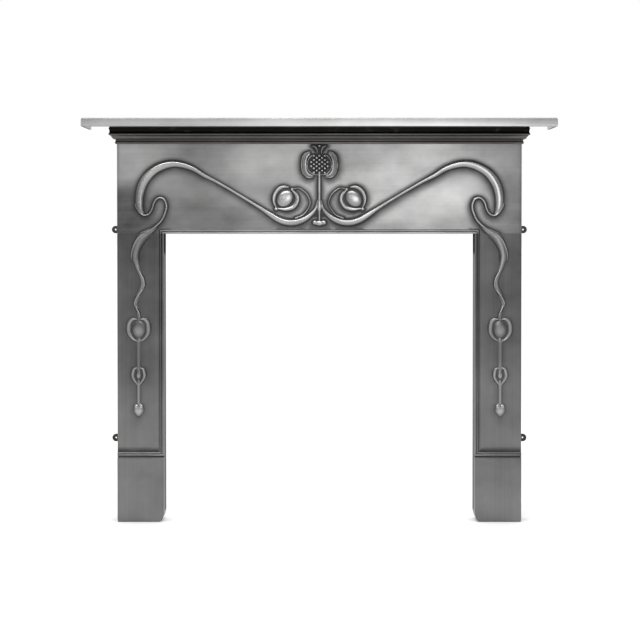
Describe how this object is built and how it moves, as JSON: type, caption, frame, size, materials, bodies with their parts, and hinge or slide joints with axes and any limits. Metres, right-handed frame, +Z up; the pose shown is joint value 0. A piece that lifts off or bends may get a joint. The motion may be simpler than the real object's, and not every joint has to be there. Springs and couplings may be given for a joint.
{
  "type": "cast iron fireplace surround",
  "caption": "Cast iron fireplace surround with ornamented legs, a ribbon-scrolled frieze under a cornice, and a plain mantel shelf, bolted together from its open back.",
  "frame": {"origin": "on the floor, under the middle of the whole part's length and depth", "axes": "+Z up, the ornamented front faces -Y, the open back stands against a wall at +Y, +X to the right as seen from the front"},
  "size_m": [1.372, 0.163, 1.1824],
  "materials": {
    "polished_iron": "polished bare cast iron, dark and rough where the ornament keeps the polishing wheel off, sand-cast black behind",
    "shelf_iron": "brushed bare cast iron, lighter than the castings below",
    "black_fasteners": "blackened steel"
  },
  "bodies": {
    "root": {"frieze": "polished_iron", "left_leg": "polished_iron", "right_leg": "polished_iron", "shelf": "shelf_iron", "left_leg_inner_bolt": "black_fasteners", "left_leg_inner_head_washer": "black_fasteners", "left_leg_inner_nut_washer": "black_fasteners", "left_leg_inner_nut": "black_fasteners", "left_leg_outer_bolt": "black_fasteners", "left_leg_outer_head_washer": "black_fasteners", "left_leg_outer_nut_washer": "black_fasteners", "left_leg_outer_nut": "black_fasteners", "right_leg_inner_bolt": "black_fasteners", "right_leg_inner_head_washer": "black_fasteners", "right_leg_inner_nut_washer": "black_fasteners", "right_leg_inner_nut": "black_fasteners", "right_leg_outer_bolt": "black_fasteners", "right_leg_outer_head_washer": "black_fasteners", "right_leg_outer_nut_washer": "black_fasteners", "right_leg_outer_nut": "black_fasteners", "shelf_bolt_1": "black_fasteners", "shelf_bolt_2": "black_fasteners", "shelf_bolt_3": "black_fasteners", "shelf_bolt_4": "black_fasteners", "shelf_bolt_5": "black_fasteners", "shelf_bolt_washer_1": "black_fasteners", "shelf_bolt_washer_2": "black_fasteners", "shelf_bolt_washer_3": "black_fasteners", "shelf_bolt_washer_4": "black_fasteners", "shelf_bolt_washer_5": "black_fasteners"}
  },
  "joints": []
}
